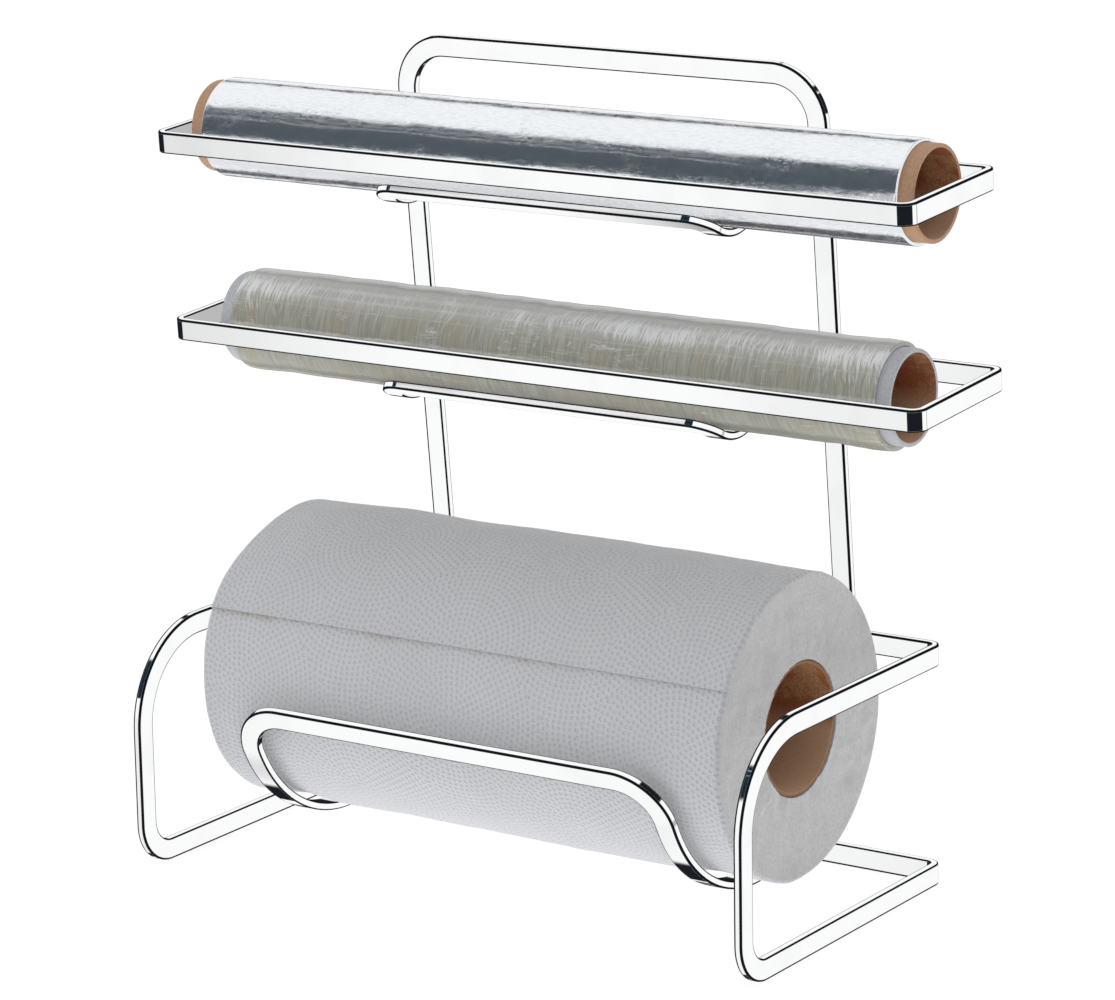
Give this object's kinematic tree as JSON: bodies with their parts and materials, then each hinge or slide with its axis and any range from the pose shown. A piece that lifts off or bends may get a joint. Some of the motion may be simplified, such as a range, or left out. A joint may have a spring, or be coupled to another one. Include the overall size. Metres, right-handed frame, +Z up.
{
  "type": "countertop paper roll holder",
  "caption": "Countertop stand of bent flat bar whose tray shelves and hanging straps hold foil, film and paper towel rolls lying on their sides.",
  "frame": {"origin": "on the counter, under the middle of the space that the stand takes up", "axes": "+X to the right seen from the front, along the rolls; +Y to the rear; +Z up"},
  "size_m": [0.326, 0.1454, 0.3023],
  "materials": {
    "chrome": "polished",
    "cardboard": "matte cardboard",
    "foil": "bright foil",
    "film": "glossy stretch film",
    "paper": "matte tissue paper"
  },
  "bodies": {
    "stand": {"base_frame": "chrome", "back_frame": "chrome", "top_tray": "chrome", "middle_tray": "chrome", "top_cradle": "chrome", "middle_cradle": "chrome", "towel_cradle": "chrome"},
    "foil_roll": {"foil_core": "cardboard", "foil_winding": "foil"},
    "film_roll": {"film_core": "cardboard", "film_winding": "film"},
    "towel_roll": {"towel_core": "cardboard", "towel_winding": "paper"}
  },
  "joints": [
    {"name": "foil_turn", "type": "hinge", "parent": "stand", "child": "foil_roll", "pos_m": [0, 0.02148, 0.2661], "axis": [1, 0, 0], "continuous": true},
    {"name": "film_turn", "type": "hinge", "parent": "stand", "child": "film_roll", "pos_m": [0, 0.02269, 0.1929], "axis": [1, 0, 0], "continuous": true},
    {"name": "towel_turn", "type": "hinge", "parent": "stand", "child": "towel_roll", "pos_m": [0, 0.0002, 0.0734], "axis": [1, 0, 0], "continuous": true}
  ]
}
